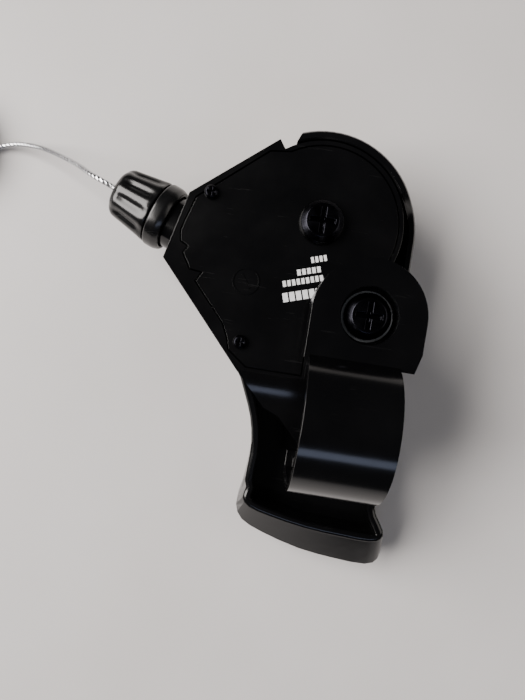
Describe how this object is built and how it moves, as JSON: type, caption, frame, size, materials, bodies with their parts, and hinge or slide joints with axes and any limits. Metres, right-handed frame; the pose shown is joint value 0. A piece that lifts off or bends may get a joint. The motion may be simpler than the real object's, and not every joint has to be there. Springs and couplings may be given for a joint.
{
  "type": "thumb shifter",
  "caption": "Handlebar thumb shifter: a paddle lever on a cable drum in a black housing, a hinged-over bar clamp, a barrel adjuster and its coiled inner cable.",
  "frame": {"origin": "centre of the footprint of the shifter without its free cable, at the face it lies on, which is the lever's outer face", "axes": "+X along the handlebar, away from the barrel adjuster; +Y from the handlebar to the lever's axle; +Z from the lever's outer face up to the clamp"},
  "size_m": [0.1413, 0.0984, 0.0472],
  "materials": {
    "moulded_black": "glossy black moulded nylon",
    "satin_black": "satin black moulded plastic",
    "painted_band": "gloss black powder coat on formed alloy",
    "black_steel": "black zinc plating on steel",
    "zinc_steel": "bright zinc plating",
    "cable_steel": "stranded galvanised steel wire",
    "brass": "turned brass",
    "white_acetal": "natural acetal",
    "friction_fibre": "compressed friction fibre",
    "tie_plastic": "black nylon cable tie"
  },
  "bodies": {
    "root": {"housing": "moulded_black", "base_plate": "moulded_black", "plate_screw_upper": "black_steel", "plate_screw_lower": "black_steel", "main_axle": "zinc_steel", "axle_screw": "black_steel", "axle_nut": "zinc_steel", "axle_washer": "zinc_steel", "wave_spring": "zinc_steel", "pressure_washer": "zinc_steel", "clamp_band": "painted_band", "clamp_screw": "black_steel", "clamp_washer": "zinc_steel", "clamp_nut": "zinc_steel", "adjuster_insert": "brass", "adjuster_spring": "zinc_steel", "inner_cable_run": "cable_steel", "cable_tail": "cable_steel", "cable_coil": "cable_steel", "coil_tie": "tie_plastic"},
    "lever": {"lever": "moulded_black", "lever_cap": "satin_black", "reel": "white_acetal", "lever_bush": "white_acetal", "cable_nipple": "zinc_steel", "cable_wrap": "cable_steel", "thrust_washer": "white_acetal", "friction_disc": "friction_fibre"},
    "adjuster_turn": {"adjuster_collar": "satin_black"},
    "adjuster_travel": {"adjuster_knob": "satin_black", "adjuster_bolt": "zinc_steel"}
  },
  "joints": [
    {"name": "lever_swing", "type": "hinge", "parent": "root", "child": "lever", "pos_m": [0.00984, 0.02664, 0.016], "axis": [0, 0, -1], "range_deg": [-8, 45], "deforming": ["cable_wrap"]},
    {"name": "adjuster_turning", "type": "hinge", "parent": "root", "child": "adjuster_turn", "pos_m": [-0.03163, 0.02721, 0.016], "axis": [-0.933, 0.36, 0], "range_deg": [0, 1800]},
    {"name": "adjuster_travelling", "type": "slide", "parent": "adjuster_turn", "child": "adjuster_travel", "axis": [-0.933, 0.36, 0], "range_m": [0, 0.004]}
  ],
  "couplings": [
    {"joint": "adjuster_turning", "follows": "adjuster_travelling", "rad_per_m": 7853.9}
  ]
}
